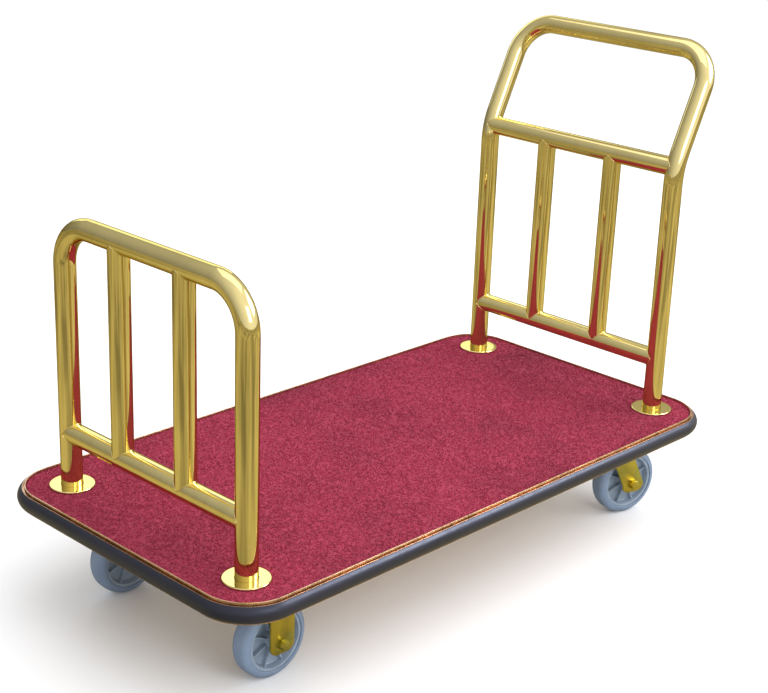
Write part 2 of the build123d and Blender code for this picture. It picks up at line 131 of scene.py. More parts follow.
def lathe(name, section, steps):
    """Turns a closed section of (radius, height) points round the Z axis."""
    count = len(section)
    points = [
        (r * cos(2 * pi * i / steps), r * sin(2 * pi * i / steps), z)
        for i in range(steps)
        for r, z in section
    ]
    faces = [
        (
            i * count + k,
            (i + 1) % steps * count + k,
            (i + 1) % steps * count + (k + 1) % count,
            i * count + (k + 1) % count,
        )
        for i in range(steps)
        for k in range(count)
    ]
    return tidied(plain_mesh(name, points, faces))


def arc(centre, radius, start, end, steps):
    """Points of an arc in a section, from one angle in degrees to another."""
    angles = [radians(start + (end - start) * i / steps) for i in range(steps + 1)]
    return [(centre[0] + radius * cos(a), centre[1] + radius * sin(a)) for a in angles]


def rounded_section(corners, radius, steps=3):
    """A closed section with each of its corners rounded."""
    out = []
    count = len(corners)
    for i in range(count):
        here = Vector(corners[i])
        a = Vector(corners[i - 1]) - here
        b = Vector(corners[(i + 1) % count]) - here
        reach = min(radius, a.length * 0.45, b.length * 0.45)
        start = here + a.normalized() * reach
        end = here + b.normalized() * reach
        for k in range(steps + 1):
            t = k / steps
            out.append(tuple((1 - t) ** 2 * start + 2 * t * (1 - t) * here + t * t * end))
    return out


def routed(points, radii, closed=False):
    """Corners of a route with their bend radii, and a point just outside each end of a bend."""
    points = [Vector(p) for p in points]
    count = len(points)
    inner = range(count) if closed else range(1, count - 1)
    out = [] if closed else [(points[0], 0.0)]
    for i, radius in zip(inner, radii):
        here = points[i]
        back = (points[i - 1] - here).normalized()
        on = (points[(i + 1) % count] - here).normalized()
        reach = radius * tan((pi - back.angle(on)) / 2)
        out.append((here + back * (reach + BEND_CLEAR), 0.0))
        out.append((here, radius))
        out.append((here + on * (reach + BEND_CLEAR), 0.0))
    if not closed:
        out.append((points[-1], 0.0))
    return out


def route_mesh(name, routes):
    """Edge mesh of routes, each (points with bend radii, closed). It carries the radii."""
    points, edges, bends = [], [], []
    for route, closed in routes:
        first = len(points)
        points += [p for p, _ in route]
        bends += [b for _, b in route]
        edges += [(first + i, first + i + 1) for i in range(len(route) - 1)]
        if closed:
            edges.append((first + len(route) - 1, first))
    mesh = plain_mesh(name, points, edges=edges)
    mesh.attributes.new("bend", "FLOAT", "POINT").data.foreach_set("value", bends)
    return mesh


# ---------------------------------------------------------------- node helpers
def feed(tree, socket, value):
    """Joins a socket to another node's output, or gives it a plain value."""
    if isinstance(value, bpy.types.NodeSocket):
        tree.links.new(value, socket)
    else:
        socket.default_value = value


def add_node(tree, kind, settings=None, **links):
    """Adds a node to a tree. Links name its inputs, with an underscore for a space."""
    made = tree.nodes.new(kind)
    for key, value in (settings or {}).items():
        setattr(made, key, value)
    for key, value in links.items():
        label = key.replace("_", " ")
        feed(tree, next(s for s in made.inputs if s.name == label and s.enabled), value)
    return made


def add_math(tree, way, *values):
    """Adds a maths node on patterns or numbers, and gives its result."""
    made = add_node(tree, "ShaderNodeMath", {"operation": way})
    for socket, value in zip(made.inputs, values):
        feed(tree, socket, value)
    return made.outputs[0]


# ---------------------------------------------------------------- geometry trees
class Tree:
    """A geometry tree that is built a node at a time."""

    def __init__(self, name, inputs):
        self.group = bpy.data.node_groups.new(name, "GeometryNodeTree")
        face = self.group.interface
        face.new_socket("Geometry", in_out="INPUT", socket_type="NodeSocketGeometry")
        for label, kind in inputs:
            face.new_socket(label, in_out="INPUT", socket_type="NodeSocket" + kind)
        face.new_socket("Geometry", in_out="OUTPUT", socket_type="NodeSocketGeometry")
        self.given = self.node("NodeGroupInput").outputs

    def node(self, kind, settings=None, **links):
        """Adds a node to this tree."""
        return add_node(self.group, kind, settings, **links)

    def end(self, geometry, material):
        """Ends the tree in plain, finished geometry."""
        real = self.node("GeometryNodeRealizeInstances", Geometry=geometry)
        dressed = self.node(
            "GeometryNodeSetMaterial", Geometry=real.outputs["Geometry"], Material=material
        )
        out = self.group.nodes.new("NodeGroupOutput")
        self.group.links.new(dressed.outputs["Geometry"], out.inputs["Geometry"])
        return self.group


def bent_line(tree):
    """The tree's route as a curve, bent to the radius that each corner carries."""
    line = tree.node("GeometryNodeMeshToCurve", Mesh=tree.given["Geometry"])
    bend = tree.node("GeometryNodeInputNamedAttribute", {"data_type": "FLOAT"}, Name="bend")
    bent = tree.node(
        "GeometryNodeFilletCurve",
        {"mode": "POLY"},
        Curve=line.outputs["Curve"],
        Count=tree.given["Bend steps"],
        Radius=bend.outputs["Attribute"],
    )
    return bent.outputs["Curve"]


def tube_tree(name):
    """A round tube or bead along every route."""
    inputs = [("Radius", "Float"), ("Segments", "Int"), ("Bend steps", "Int")]
    tree = Tree(name, inputs + [("Finish", "Material")])
    ring = tree.node(
        "GeometryNodeCurvePrimitiveCircle",
        Resolution=tree.given["Segments"],
        Radius=tree.given["Radius"],
    )
    swept = tree.node(
        "GeometryNodeCurveToMesh",
        Curve=bent_line(tree),
        Profile_Curve=ring.outputs["Curve"],
        Fill_Caps=True,
    )
    return tree.end(swept.outputs["Mesh"], tree.given["Finish"])


def edging_tree(name):
    """A closed section carried round the deck's rim, upright all the way."""
    tree = Tree(name, [("Section", "Object"), ("Bend steps", "Int"), ("Finish", "Material")])
    upright = tree.node("GeometryNodeSetCurveNormal", {"mode": "Z_UP"}, Curve=bent_line(tree))
    shape = tree.node("GeometryNodeObjectInfo", Object=tree.given["Section"])
    section = tree.node("GeometryNodeMeshToCurve", Mesh=shape.outputs["Geometry"])
    swept = tree.node(
        "GeometryNodeCurveToMesh",
        Curve=upright.outputs["Curve"],
        Profile_Curve=section.outputs["Curve"],
    )
    return tree.end(swept.outputs["Mesh"], tree.given["Finish"])


def pile_tree(name):
    """Short leaning tufts scattered over the upward faces of the carpet."""
    inputs = [(label, "Float") for label in ("Density", "Height", "Width", "Lean")]
    tree = Tree(name, inputs + [("Seed", "Int"), ("Finish", "Material")])
    facing = tree.node("GeometryNodeInputNormal")
    parts = tree.node("ShaderNodeSeparateXYZ", Vector=facing.outputs["Normal"])
    upward = tree.node(
        "FunctionNodeCompare",
        {"data_type": "FLOAT", "operation": "GREATER_THAN"},
        A=parts.outputs["Z"],
        B=0.6,
    )
    spread = tree.node(
        "GeometryNodeDistributePointsOnFaces",
        {"distribute_method": "RANDOM"},
        Mesh=tree.given["Geometry"],
        Selection=upward.outputs["Result"],
        Density=tree.given["Density"],
        Seed=tree.given["Seed"],
    )
    tuft = tree.node(
        "GeometryNodeMeshCone",
        {"fill_type": "NONE"},
        Vertices=3,
        Radius_Top=0.0,
        Radius_Bottom=tree.given["Width"],
        Depth=tree.given["Height"],
    )
    back = add_math(tree.group, "MULTIPLY", tree.given["Lean"], -1.0)
    low = tree.node("ShaderNodeCombineXYZ", X=back, Y=back, Z=0.0)
    high = tree.node(
        "ShaderNodeCombineXYZ", X=tree.given["Lean"], Y=tree.given["Lean"], Z=2 * pi
    )
    lean = tree.node(
        "FunctionNodeRandomValue",
        {"data_type": "FLOAT_VECTOR"},
        Min=low.outputs["Vector"],
        Max=high.outputs["Vector"],
        Seed=tree.given["Seed"],
    )
    grow = tree.node(
        "FunctionNodeRandomValue", {"data_type": "FLOAT"}, Min=0.65, Max=1.25, Seed=7
    )
    placed = tree.node(
        "GeometryNodeInstanceOnPoints",
        Points=spread.outputs["Points"],
        Instance=tuft.outputs["Mesh"],
        Rotation=lean.outputs["Value"],
        Scale=grow.outputs[1],
    )
    return tree.end(placed.outputs["Instances"], tree.given["Finish"])


def rib_tree(name):
    """A wheel core with its ribs set round the hub."""
    inputs = [("Rib", "Object"), ("Ribs", "Int"), ("Turn", "Float"), ("Finish", "Material")]
    tree = Tree(name, inputs)
    ring = tree.node(
        "GeometryNodeMeshLine", {"mode": "OFFSET"}, Count=tree.given["Ribs"], Offset=(0.0, 0.0, 0.0)
    )
    index = tree.node("GeometryNodeInputIndex")
    part = add_math(tree.group, "DIVIDE", index.outputs[0], tree.given["Ribs"])
    angle = add_math(tree.group, "MULTIPLY_ADD", part, 2 * pi, tree.given["Turn"])
    turned = tree.node("ShaderNodeCombineXYZ", X=0.0, Y=0.0, Z=angle)
    shape = tree.node("GeometryNodeObjectInfo", Object=tree.given["Rib"])
    placed = tree.node(
        "GeometryNodeInstanceOnPoints",
        Points=ring.outputs["Mesh"],
        Instance=shape.outputs["Geometry"],
        Rotation=turned.outputs["Vector"],
    )
    both = tree.node("GeometryNodeJoinGeometry")
    tree.group.links.new(placed.outputs["Instances"], both.inputs[0])
    tree.group.links.new(tree.given["Geometry"], both.inputs[0])
    return tree.end(both.outputs["Geometry"], tree.given["Finish"])


TREES = {
    "Tube along route": tube_tree,
    "Section round rim": edging_tree,
    "Carpet pile": pile_tree,
    "Ribs round hub": rib_tree,
}


def baked(holder):
    """The plain mesh that a holder's modifiers give. The holder is taken away."""
    graph = bpy.context.evaluated_depsgraph_get()
    made = bpy.data.meshes.new_from_object(holder.evaluated_get(graph), depsgraph=graph)
    bpy.data.objects.remove(holder)
    return made


def grown(name, mesh, kind, inputs):
    """Runs a kind of geometry tree on a mesh and gives the result as a plain mesh."""
    tree = bpy.data.node_groups.get(kind) or TREES[kind](kind)
    holder = bpy.data.objects.new(name + "_holder", mesh)
    bpy.context.scene.collection.objects.link(holder)
    modifier = holder.modifiers.new("Shape", "NODES")
    modifier.node_group = tree
    for item in tree.interface.items_tree:
        if item.item_type == "SOCKET" and item.in_out == "INPUT" and item.name in inputs:
            modifier[item.identifier] = inputs[item.name]
    made = baked(holder)
    made.name = name
    if not made.polygons:
        raise RuntimeError(f"{name} came out empty")
    return made


def keep(name, mesh, slot, nodes, body=CART):
    """Makes a mesh a piece of the cart that stands for CAD nodes and rides on a body."""
    piece = bpy.data.objects.new(name, mesh)
    bpy.context.scene.collection.objects.link(piece)
    mesh.materials.clear()
    mesh.materials.append(finish(slot))
    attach(piece, body)
    if nodes:
        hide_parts(*nodes)
    return piece


def eased_copy(node, slot, width):
    """A copy of a CAD node's mesh with its sharp edges eased, which stands for the node."""
    source = frame["nodes"][node]
    shape = bmesh.new()
    shape.from_mesh(source.data)
    bmesh.ops.remove_doubles(shape, verts=shape.verts, dist=2e-6)
    bmesh.ops.dissolve_limit(
        shape, angle_limit=radians(FLAT_ANGLE), verts=shape.verts, edges=shape.edges
    )
    for face in shape.faces:
        face.smooth = True
    mesh = bpy.data.meshes.new(node + "_eased")
    shape.to_mesh(mesh)
    shape.free()
    holder = bpy.data.objects.new(node + "_holder", mesh)
    bpy.context.scene.collection.objects.link(holder)
    easing = holder.modifiers.new("Ease", "BEVEL")
    easing.width = width
    easing.segments = 2
    easing.limit_method = "ANGLE"
    easing.angle_limit = radians(EASED_ANGLE)
    easing.harden_normals = True
    made = baked(holder)
    made.name = node + "_eased"
    return keep(made.name, made, slot, [node], source["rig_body"])


# ---------------------------------------------------------------- finishes
class Surface:
    """A material that is built a node at a time, on Object coordinates."""

    def __init__(self, name, **constants):
        self.material = bpy.data.materials.new(name)
        self.material.use_nodes = True
        self.tree = self.material.node_tree
        self.tree.nodes.clear()
        self.shader = self.node("ShaderNodeBsdfPrincipled")
        out = self.node("ShaderNodeOutputMaterial")
        self.tree.links.new(self.shader.outputs["BSDF"], out.inputs["Surface"])
        self.place = self.node("ShaderNodeTexCoord").outputs["Object"]
        for key, value in constants.items():
            self.shader.inputs[key.replace("_", " ")].default_value = value

    def node(self, kind, settings=None, **links):
        """Adds a node to this material."""
        return add_node(self.tree, kind, settings, **links)

    def stretched(self, x, y, z):
        """Object coordinates scaled along each axis."""
        made = self.node("ShaderNodeMapping", Vector=self.place, Scale=(x, y, z))
        return made.outputs["Vector"]

    def noise(self, scale, detail=3.0, rough=0.5, at=None):
        """Soft noise, about 0.5 in the mean."""
        return self.node(
            "ShaderNodeTexNoise",
            Vector=at or self.place,
            Scale=scale,
            Detail=detail,
            Roughness=rough,
        ).outputs["Fac"]

    def cells(self, scale):
        """A random number for each small cell."""
        voronoi = self.node("ShaderNodeTexVoronoi", Vector=self.place, Scale=scale)
        parts = self.node("ShaderNodeSeparateColor", Color=voronoi.outputs["Color"])
        return parts.outputs["Red"]

    def span(self, source, low, high, start=0.35, stop=0.65):
        """Carries a range of a pattern onto another range."""
        return self.node(
            "ShaderNodeMapRange",
            Value=source,
            From_Min=start,
            From_Max=stop,
            To_Min=low,
            To_Max=high,
        ).outputs["Result"]

    def ramp(self, source, stops):
        """Colours along a pattern, as (place, colour) stops."""
        made = self.node("ShaderNodeValToRGB", Fac=source)
        band = made.color_ramp.elements
        while len(band) < len(stops):
            band.new(0.5)
        for element, (place, colour) in zip(band, stops):
            element.position = place
            element.color = opaque(colour)
        return made.outputs["Color"]

    def mix(self, amount, a, b):
        """Mixes two colours by an amount."""
        made = self.node("ShaderNodeMix", {"data_type": "RGBA"})
        feed(self.tree, made.inputs[0], amount)
        for socket, colour in ((made.inputs[6], a), (made.inputs[7], b)):
            plain = not isinstance(colour, bpy.types.NodeSocket)
            feed(self.tree, socket, opaque(colour) if plain else colour)
        return made.outputs[2]

    def added(self, a, b):
        """The sum of two patterns."""
        return add_math(self.tree, "ADD", a, b)

    def bump(self, height, distance, strength=1.0, under=None):
        """Relief of a real height in metres."""
        below = {} if under is None else {"Normal": under}
        made = self.node(
            "ShaderNodeBump", Height=height, Distance=distance, Strength=strength, **below
        )
        return made.outputs["Normal"]

    def wear(self, **sockets):
        """Joins patterns to the shader's sockets."""
        for key, value in sockets.items():
            self.tree.links.new(value, self.shader.inputs[key.replace("_", " ")])
        return self.material


def opaque(colour):
    """A colour with full alpha."""
    return (*colour[:3], 1.0)


def shade(colour, factor):
    """A colour made lighter or darker."""
    return tuple(min(1.0, c * factor) for c in colour[:3])


def polished_brass(name, colours):
    """Titanium-gold plated tube: near mirror, with faint waviness, haze and finger marks."""
    base = colours.rail_gold
    s = Surface(name, Metallic=1.0, Specular_Tint=opaque(colours.rail_edge))
    tone = s.noise(6.0, 4.0, 0.55)
    haze = s.noise(11.0, 5.0, 0.6)
    streak = s.noise(60.0, 2.0, 0.5, s.stretched(1.0, 1.0, 0.25))
    grain = s.noise(900.0, 2.0, 0.5, s.stretched(1.0, 1.0, 0.08))
    colour = s.ramp(tone, [(0.3, shade(base, 0.9)), (0.55, base), (0.75, shade(base, 1.08))])
    colour = s.mix(s.span(streak, 0.0, 0.25, 0.5, 0.7), colour, shade(base, 0.82))
    rough = s.added(s.span(haze, 0.03, 0.085), s.span(grain, 0.0, 0.02))
    wave = s.bump(s.noise(14.0, 2.0), 0.0009, 0.25)
    fine = s.bump(grain, 0.00001, 0.3, wave)
    return s.wear(Base_Color=colour, Roughness=rough, Normal=fine)


def trim_brass(name, colours):
    """Drawn brass edging with rubbed lips."""
    base = colours.trim_gold
    s = Surface(name, Metallic=1.0)
    tone = s.noise(35.0, 4.0, 0.6)
    scuff = s.noise(420.0, 3.0, 0.6)
    colour = s.ramp(tone, [(0.3, shade(base, 0.7)), (0.5, base), (0.72, shade(base, 1.25))])
    rough = s.span(scuff, 0.18, 0.42)
    return s.wear(Base_Color=colour, Roughness=rough, Normal=s.bump(scuff, 0.00004, 0.4))


def bumper_vinyl(name, colours):
    """Extruded dark grey vinyl with a satin skin, fine pores and a few scuffs."""
    base = colours.bumper_grey
    s = Surface(name, Specular_IOR_Level=0.52, Specular_Tint=(0.68, 0.74, 1.0, 1.0))
    cloud = s.noise(9.0, 4.0, 0.6)
    pores = s.noise(1500.0, 2.0, 0.6)
    scuff = s.noise(48.0, 6.0, 0.75)
    colour = s.ramp(cloud, [(0.3, shade(base, 0.85)), (0.7, shade(base, 1.15))])
    colour = s.mix(s.span(scuff, 0.0, 0.35, 0.64, 0.78), colour, shade(base, 2.4))
    rough = s.added(s.span(cloud, 0.3, 0.4), s.span(scuff, 0.0, 0.12, 0.5, 0.75))
    return s.wear(Base_Color=colour, Roughness=rough, Normal=s.bump(pores, 0.00003, 0.35))


def gold_paint(name, colours):
    """Sprayed gold paint on the steel frame under the deck."""
    base = colours.frame_gold
    s = Surface(name, Metallic=0.45)
    tone = s.noise(12.0, 4.0, 0.6)
    peel = s.noise(260.0, 2.0)
    dust = s.noise(30.0, 6.0, 0.7)
    colour = s.ramp(tone, [(0.3, shade(base, 0.85)), (0.7, shade(base, 1.1))])
    colour = s.mix(s.span(dust, 0.0, 0.35, 0.55, 0.75), colour, (0.22, 0.19, 0.15))
    return s.wear(
        Base_Color=colour, Roughness=s.span(dust, 0.36, 0.6), Normal=s.bump(peel, 0.00008, 0.4)
    )


def yellow_zinc(name, colours):
    """Yellow-passivated zinc on pressed steel, with its faint green and pink bloom."""
    base = colours.caster_zinc
    s = Surface(name, Metallic=1.0)
    bloom = s.noise(26.0, 3.0, 0.55)
    spangle = s.cells(420.0)
    grime = s.noise(55.0, 5.0, 0.7)
    colour = s.ramp(
        bloom,
        [
            (0.28, (base[0] * 0.72, base[1] * 0.86, base[2] * 1.3)),
            (0.5, base),
            (0.62, shade(base, 1.1)),
            (0.78, (base[0] * 1.1, base[1] * 0.82, base[2] * 1.5)),
        ],
    )
    colour = s.mix(s.span(grime, 0.0, 0.5, 0.56, 0.78), colour, shade(base, 0.35))
    rough = s.added(s.span(grime, 0.28, 0.42), s.span(spangle, 0.0, 0.06, 0.0, 1.0))
    return s.wear(Base_Color=colour, Roughness=rough, Normal=s.bump(bloom, 0.0002, 0.3))


def wheel_tyre(name, colours):
    """Grey-blue non-marking rubber with dark dusty specks."""
    base = colours.tyre_grey
    s = Surface(name, Specular_IOR_Level=0.45)
    tone = s.noise(20.0, 4.0, 0.6)
    speck = s.noise(300.0, 4.0, 0.7)
    mould = s.noise(1100.0, 2.0)
    colour = s.ramp(tone, [(0.3, shade(base, 0.86)), (0.7, shade(base, 1.1))])
    colour = s.mix(s.span(speck, 0.0, 0.3, 0.58, 0.75), colour, shade(base, 0.55))
    return s.wear(
        Base_Color=colour, Roughness=s.span(tone, 0.42, 0.58), Normal=s.bump(mould, 0.00003, 0.4)
    )


def wheel_plastic(name, colours):
    """Moulded grey-blue polyolefin core with faint flow marks."""
    base = colours.core_grey
    s = Surface(name, Specular_IOR_Level=0.5)
    flow = s.noise(30.0, 3.0, 0.5, s.stretched(1.0, 1.0, 2.2))
    grit = s.noise(240.0, 4.0, 0.7)
    colour = s.ramp(flow, [(0.3, shade(base, 0.88)), (0.7, shade(base, 1.1))])
    colour = s.mix(s.span(grit, 0.0, 0.3, 0.58, 0.78), colour, shade(base, 0.5))
    return s.wear(
        Base_Color=colour, Roughness=s.span(flow, 0.34, 0.5), Normal=s.bump(grit, 0.00005, 0.3)
    )


def carpet_pile(name, colours):
    """Heathered crimson cut pile: single tufts in three reds, darker in soft large patches."""
    red, dark, light = colours.carpet_red, colours.carpet_dark, colours.carpet_light
    s = Surface(
        name, Roughness=0.95, Specular_IOR_Level=0.15, Sheen_Weight=0.06, Sheen_Roughness=0.5
    )
    tuft = s.cells(420.0)
    yarn = s.noise(230.0, 3.0, 0.6, s.stretched(0.5, 1.2, 1.0))
    strand = s.noise(95.0, 4.0, 0.7, s.stretched(1.3, 0.45, 1.0))
    colour = s.ramp(tuft, [(0.1, shade(red, 0.84)), (0.5, red), (0.9, shade(red, 1.12))])
    colour = s.mix(s.span(yarn, 0.0, 0.55, 0.52, 0.68), colour, dark)
    colour = s.mix(s.span(yarn, 0.4, 0.0, 0.34, 0.46), colour, light)
    colour = s.mix(s.span(strand, 0.0, 0.35, 0.54, 0.7), colour, dark)
    # Soft large patches, darkened towards half the middle red.
    soft_dark_patch = s.noise(4.0, 5.0, 0.66)
    colour = s.mix(s.span(soft_dark_patch, 0.0, 0.55, 0.46, 0.7), colour, shade(red, 0.5))
    fluff = s.noise(620.0, 4.0, 0.7)
    return s.wear(Base_Color=colour, Normal=s.bump(fluff, 0.0008, 0.8))


def plywood(name, colours):
    """Birch plywood: long grain on its faces and thin plies on its edge."""
    base = colours.plywood
    s = Surface(name, Specular_IOR_Level=0.3)
    grain = s.noise(22.0, 6.0, 0.65, s.stretched(0.35, 6.0, 6.0))
    plies = s.node(
        "ShaderNodeTexWave",
        {"wave_type": "BANDS", "bands_direction": "Z"},
        Vector=s.place,
        Scale=110.0,
        Distortion=0.6,
    ).outputs["Fac"]
    colour = s.ramp(grain, [(0.3, shade(base, 0.62)), (0.5, base), (0.7, shade(base, 1.2))])
    colour = s.mix(s.span(plies, 0.0, 0.35, 0.4, 0.6), colour, shade(base, 0.5))
    return s.wear(
        Base_Color=colour, Roughness=s.span(grain, 0.55, 0.75), Normal=s.bump(grain, 0.0002, 0.5)
    )


def plain_steel(name, colours):
    """Bright zinc-plated fasteners."""
    base = colours.steel
    s = Surface(name, Metallic=1.0)
    tone = s.noise(60.0, 4.0, 0.6)
    scratch = s.noise(500.0, 3.0, 0.6)
    colour = s.ramp(tone, [(0.3, shade(base, 0.75)), (0.7, shade(base, 1.1))])
    rough = s.span(scratch, 0.25, 0.42)
    return s.wear(Base_Color=colour, Roughness=rough, Normal=s.bump(scratch, 0.00003, 0.3))


FINISHES = {
    build.__name__: build
    for build in (
        polished_brass, trim_brass, bumper_vinyl, gold_paint, yellow_zinc,
        wheel_tyre, wheel_plastic, carpet_pile, plywood, plain_steel,
    )
}


def finish(slot):
    """The material of a finish, made the first time that it is asked for."""
    name = "finish_" + slot
    if name not in bpy.data.materials:
        FINISHES[slot](name, bpy.context.scene.cart_finishes)
    return bpy.data.materials[name]


# ---------------------------------------------------------------- what a user would change
def length_choice(name, description, default):
    """A length that a user may change."""
    return FloatProperty(name=name, description=description, default=default, unit="LENGTH")


def power_choice(name, description, default):
    """A light's power that a user may change."""
    return FloatProperty(name=name, description=description, default=default, unit="POWER")


def colour_choice(name, description, default):
    """A colour that a user may change."""
    return FloatVectorProperty(
        name=name, description=description, default=default,
        subtype="COLOR", size=3, min=0.0, max=1.0,
    )


class CartRailSizes(bpy.types.PropertyGroup):
    """Sizes of the rail tubing that the frame's boxes don't give."""

    hoop_bend: length_choice("Hoop bend", "Bend radius of the hoops' corners", 0.070)
    tilt_bend: length_choice("Tilt bend", "Bend radius where the handle tilts out", 0.150)
    segments: IntProperty(
        name="Segments", description="Facets round a tube", default=80, min=16, max=128
    )
    bend_steps: IntProperty(
        name="Bend steps", description="Steps in a bend", default=30, min=6, max=64
    )
    weld_radius: length_choice("Weld radius", "Radius of a polished weld bead", 0.0009)


class CartDeckSizes(bpy.types.PropertyGroup):
    """Sizes of the deck's covering and edging."""

    corner: length_choice("Corner", "Corner radius of the carpet", 0.080)
    cell: length_choice("Weave cell", "Spacing of the carpet's surface points", 0.003)
    edge_roll: length_choice(
        "Edge roll", "Width over which the carpet rolls down at its edge", 0.005
    )
    pile_height: length_choice("Pile height", "Height of a tuft", 0.0022)
    pile_width: length_choice("Pile width", "Radius of a tuft's foot", 0.0016)
    pile_density: FloatProperty(
        name="Pile density", description="Tufts in a square metre", default=84000.0, min=0.0
    )
    trim_web: length_choice("Trim web", "Thickness of the trim's inner lip", 0.002)
    trim_groove: length_choice("Trim groove", "Width of the trim's groove", 0.003)
    groove_depth: length_choice("Groove depth", "Depth of the groove below the carpet", 0.0055)
    trim_sheet: length_choice("Trim sheet", "Thickness of the trim's flanges", 0.0015)
    bumper_radius: length_choice("Bumper radius", "Radius of the bumper's round face", 0.017)
    bumper_drop: length_choice(
        "Bumper drop", "Height of the carpet above the bumper's middle", 0.016
    )


class CartCasterSizes(bpy.types.PropertyGroup):
    """Sizes of the wheels that the frame's boxes don't give."""

    tyre_depth: length_choice("Tyre depth", "Depth of the rubber", 0.0135)
    shoulder: length_choice("Shoulder", "Radius of the tyre's shoulders", 0.0125)
    hub_radius: length_choice("Hub radius", "Radius of the wheel's hub", 0.015)
    bore_radius: length_choice("Bore radius", "Radius of the bore for the axle", 0.00608)
    ribs: IntProperty(name="Ribs", description="Ribs round the hub", default=8, min=3, max=16)
    rib_thickness: length_choice("Rib thickness", "Thickness of a rib", 0.0038)
    rib_reach: length_choice("Rib reach", "Height of a rib from the wheel's middle", 0.012)
    web: length_choice("Web", "Half the thickness of the wheel's web", 0.004)


class CartFinishes(bpy.types.PropertyGroup):
    """Colours of the cart's finishes."""

    rail_gold: colour_choice("Rail gold", "Colour of the polished rails", (0.84, 0.70, 0.31))
    rail_edge: colour_choice("Rail edge", "Tint of the rails seen edge-on", (0.60, 0.54, 0.32))
    trim_gold: colour_choice("Trim gold", "Colour of the deck's brass trim", (0.56, 0.36, 0.22))
    bumper_grey: colour_choice("Bumper grey", "Colour of the vinyl bumper", (0.014, 0.013, 0.019))
    frame_gold: colour_choice("Frame gold", "Colour of the painted frame", (0.42, 0.31, 0.09))
    caster_zinc: colour_choice("Caster zinc", "Colour of the plated casters", (0.54, 0.44, 0.078))
    tyre_grey: colour_choice("Tyre grey", "Colour of the tyres", (0.165, 0.225, 0.325))
    core_grey: colour_choice("Core grey", "Colour of the wheel cores", (0.215, 0.27, 0.345))
    carpet_red: colour_choice("Carpet red", "Middle red of the carpet", (0.33, 0.0275, 0.066))
    carpet_dark: colour_choice("Carpet dark", "Dark fleck of the carpet", (0.135, 0.012, 0.031))
    carpet_light: colour_choice("Carpet light", "Light fleck of the carpet", (0.44, 0.060, 0.115))
    plywood: colour_choice("Plywood", "Colour of the deck board", (0.52, 0.34, 0.18))
    steel: colour_choice("Steel", "Colour of the plain fasteners", (0.58, 0.58, 0.56))


class CartStudio(bpy.types.PropertyGroup):
    """Light and floor of the studio."""

    room_light: FloatProperty(
        name="Room light", description="Strength of the light from all round", default=1.04, min=0.0
    )
    key_power: power_choice("Key power", "Power of the big overhead softbox", 15.0)
    side_power: power_choice("Side power", "Power of the softbox at the right", 34.0)
    front_power: power_choice("Front power", "Power of the softbox by the camera", 24.0)
    glint_power: power_choice("Glint power", "Power of the softbox that only gloss shows", 52.0)
    back_power: power_choice("Back power", "Power of the cool softbox beyond the cart", 22.0)
    floor: colour_choice("Floor", "Colour of the floor", (0.90, 0.90, 0.91))
    # Painted reflection: the floor's colour as gloss shows it, darker and warmer than the floor
    # itself.
    painted_floor_reflection: colour_choice(
        "Mirrored floor", "Colour of the floor as polished parts show it", (0.345, 0.298, 0.150)
    )
    mirrored_room: FloatProperty(
        name="Mirrored room",
        description="Share of the room light that polished parts show",
        default=0.72,
    )
    lens: FloatProperty(
        name="Lens", description="Focal length", default=77.28, min=10.0, unit="CAMERA"
    )


# ---------------------------------------------------------------- rails
def tube_piece(name, routes, radius, nodes, sizes):
    """One tube, or beads of weld, along routes."""
    mesh = grown(
        name,
        route_mesh(name + "_route", routes),
        "Tube along route",
        {
            "Radius": radius,
            "Segments": sizes.segments if radius > SMALL_TUBE else BEAD_FACETS,
            "Bend steps": sizes.bend_steps,
            "Finish": finish("polished_brass"),
        },
    )
    return keep(name, tidied(mesh, 50.0), "polished_brass", nodes)


def saddle(joint, along, radius, axis, seat, steps=48):
    """Closed line where a tube that leaves a joint meets the seat tube, which runs along axis."""
    along, axis = Vector(along).normalized(), Vector(axis).normalized()
    across = along.cross(axis).normalized()
    out = []
    for i in range(steps):
        turn = 2 * pi * i / steps
        side = radius * sin(turn)
        depth = sqrt(max(seat * seat - side * side, 0.0))
        spot = Vector(joint) + across * side + axis * radius * cos(turn) + along * depth
        out.append((spot, 0.0))
    return out, True


def rail_places(rail):
    """Place of the low or handle rail's right post, its foot, top and radius, and its reach."""
    low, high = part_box("low_rail_hoop" if rail == "low" else "handle_hoop")
    foot = middle(f"post_flange_{rail}_right")
    radius = high[1] - foot.y
    return foot.x, foot.y, low[2], high[2] - radius, radius, high[0] - radius


def post_radius(rail):
    """Radius of a rail's posts."""
    return rail_places(rail)[4]


class CART_OT_low_rail(bpy.types.Operator):
    """Bends the low rail's hoop and sets its crossbar, uprights and welds"""

    bl_idname = "cart.low_rail"
    bl_label = "Low rail"

    def execute(self, context):
        sizes = context.scene.cart_rails
        x, y, foot, top, radius, _ = rail_places("low")
        bar = middle("low_rail_crossbar").z
        bar_radius = size("low_rail_crossbar").z / 2
        upright = size("low_rail_picket_left").y / 2
        corners = [(x, -y, foot), (x, -y, top), (x, y, top), (x, y, foot)]
        hoop = routed(corners, [sizes.hoop_bend] * 2)
        tube_piece("low_rail_bent_tube", [(hoop, False)], radius, ["low_rail_hoop"], sizes)
        cross = routed([(x, -y, bar), (x, y, bar)], [])
        node = "low_rail_crossbar"
        tube_piece("low_rail_cross_tube", [(cross, False)], bar_radius, [node], sizes)
        welds = [
            saddle((x, side * y, bar), (0, -side, 0), bar_radius, (0, 0, 1), radius)
            for side in (-1, 1)
        ]
        for side in SIDES:
            node = f"low_rail_picket_{side}"
            at = middle(node).y
            line = routed([(x, at, bar), (x, at, top)], [])
            tube_piece(f"low_rail_{side}_upright", [(line, False)], upright, [node], sizes)
            welds.append(saddle((x, at, bar), (0, 0, 1), upright, (0, 1, 0), bar_radius))
            welds.append(saddle((x, at, top), (0, 0, -1), upright, (0, 1, 0), radius))
        tube_piece("low_rail_weld_beads", welds, sizes.weld_radius, [], sizes)
        return {"FINISHED"}


